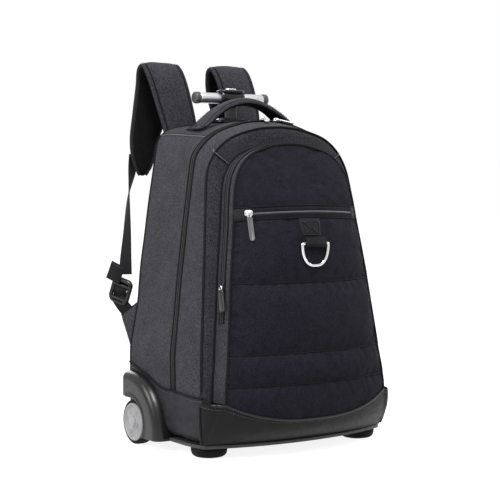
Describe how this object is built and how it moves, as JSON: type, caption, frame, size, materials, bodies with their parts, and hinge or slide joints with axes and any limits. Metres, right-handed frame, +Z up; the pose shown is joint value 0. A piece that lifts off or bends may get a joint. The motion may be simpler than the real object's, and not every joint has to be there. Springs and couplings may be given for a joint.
{
  "type": "wheeled backpack",
  "caption": "Wheeled backpack with an arched front pocket, moulded leather base, corner wheels, padded shoulder straps and a telescopic T-grip pole.",
  "frame": {"origin": "middle of the bounding box's footprint, on the floor that the wheels and front feet stand on", "axes": "+Z up, -Y the quilted front, +Y the side that rests on the wearer's back, X across"},
  "size_m": [0.3878, 0.3282, 0.5914],
  "materials": {
    "melange": "heather charcoal weave",
    "panel": "dark quilted heather weave",
    "leather": "smooth black, satin",
    "trim": "black tape and webbing",
    "plastic": "satin black",
    "rubber": "matt black",
    "hub": "silver-grey satin",
    "metal": "polished"
  },
  "bodies": {
    "bag": {"rear_shell": "melange", "front_shell": "melange", "main_zip": "trim", "front_piping": "trim", "front_pocket": "panel", "pocket_zip": "trim", "panel_zip": "trim", "ring_patch": "leather", "ring_loop": "leather", "panel_zip_slider": "metal", "panel_zip_pull": "metal", "pocket_zip_slider": "metal", "pocket_zip_pull": "metal", "main_zip_slider_left": "metal", "main_zip_pull_left": "metal", "main_zip_slider_right": "metal", "main_zip_pull_right": "metal", "leather_base": "leather", "base_tray": "plastic", "foot_left": "rubber", "wheel_housing_left": "plastic", "axle_left": "metal", "foot_right": "rubber", "wheel_housing_right": "plastic", "axle_right": "metal", "pole_sleeve": "metal", "pole_bezel": "plastic", "carry_handle": "melange", "shoulder_strap_left": "melange", "shoulder_strap_right": "melange", "webbing_left": "trim", "webbing_right": "trim", "wing_left": "melange", "buckle_left": "plastic", "webbing_tail_left": "trim", "wing_right": "melange", "buckle_right": "plastic", "webbing_tail_right": "trim"},
    "wheel_left": {"tyre_left": "rubber", "hub_left": "hub"},
    "wheel_right": {"tyre_right": "rubber", "hub_right": "hub"},
    "middle_stage": {"pole_middle": "metal"},
    "top_stage": {"pole_inner": "metal", "grip_housing": "plastic", "grip_bar_left": "metal", "grip_bar_right": "metal", "grip_cap_left": "plastic", "grip_cap_right": "plastic"},
    "release_button": {"grip_button": "trim"},
    "lash_ring": {"d_ring": "metal"}
  },
  "joints": [
    {"name": "wheel_left_spin", "type": "hinge", "parent": "bag", "child": "wheel_left", "pos_m": [-0.1757, 0.0627, 0.0344], "axis": [1, 0, 0], "continuous": true},
    {"name": "wheel_right_spin", "type": "hinge", "parent": "bag", "child": "wheel_right", "pos_m": [0.1757, 0.0627, 0.0344], "axis": [1, 0, 0], "continuous": true},
    {"name": "middle_stage_slide", "type": "slide", "parent": "bag", "child": "middle_stage", "axis": [0, 0, 1], "range_m": [0, 0.24]},
    {"name": "top_stage_slide", "type": "slide", "parent": "middle_stage", "child": "top_stage", "axis": [0, 0, 1], "range_m": [0, 0.24]},
    {"name": "release_press", "type": "slide", "parent": "top_stage", "child": "release_button", "axis": [0, 0, -1], "range_m": [0, 0.0025], "stiffness_N_per_m": 200, "springref_m": -0.001},
    {"name": "lash_ring_swing", "type": "hinge", "parent": "bag", "child": "lash_ring", "pos_m": [0, -0.1539, 0.31122], "axis": [-1, 0, 0], "range_deg": [0, 120]}
  ]
}
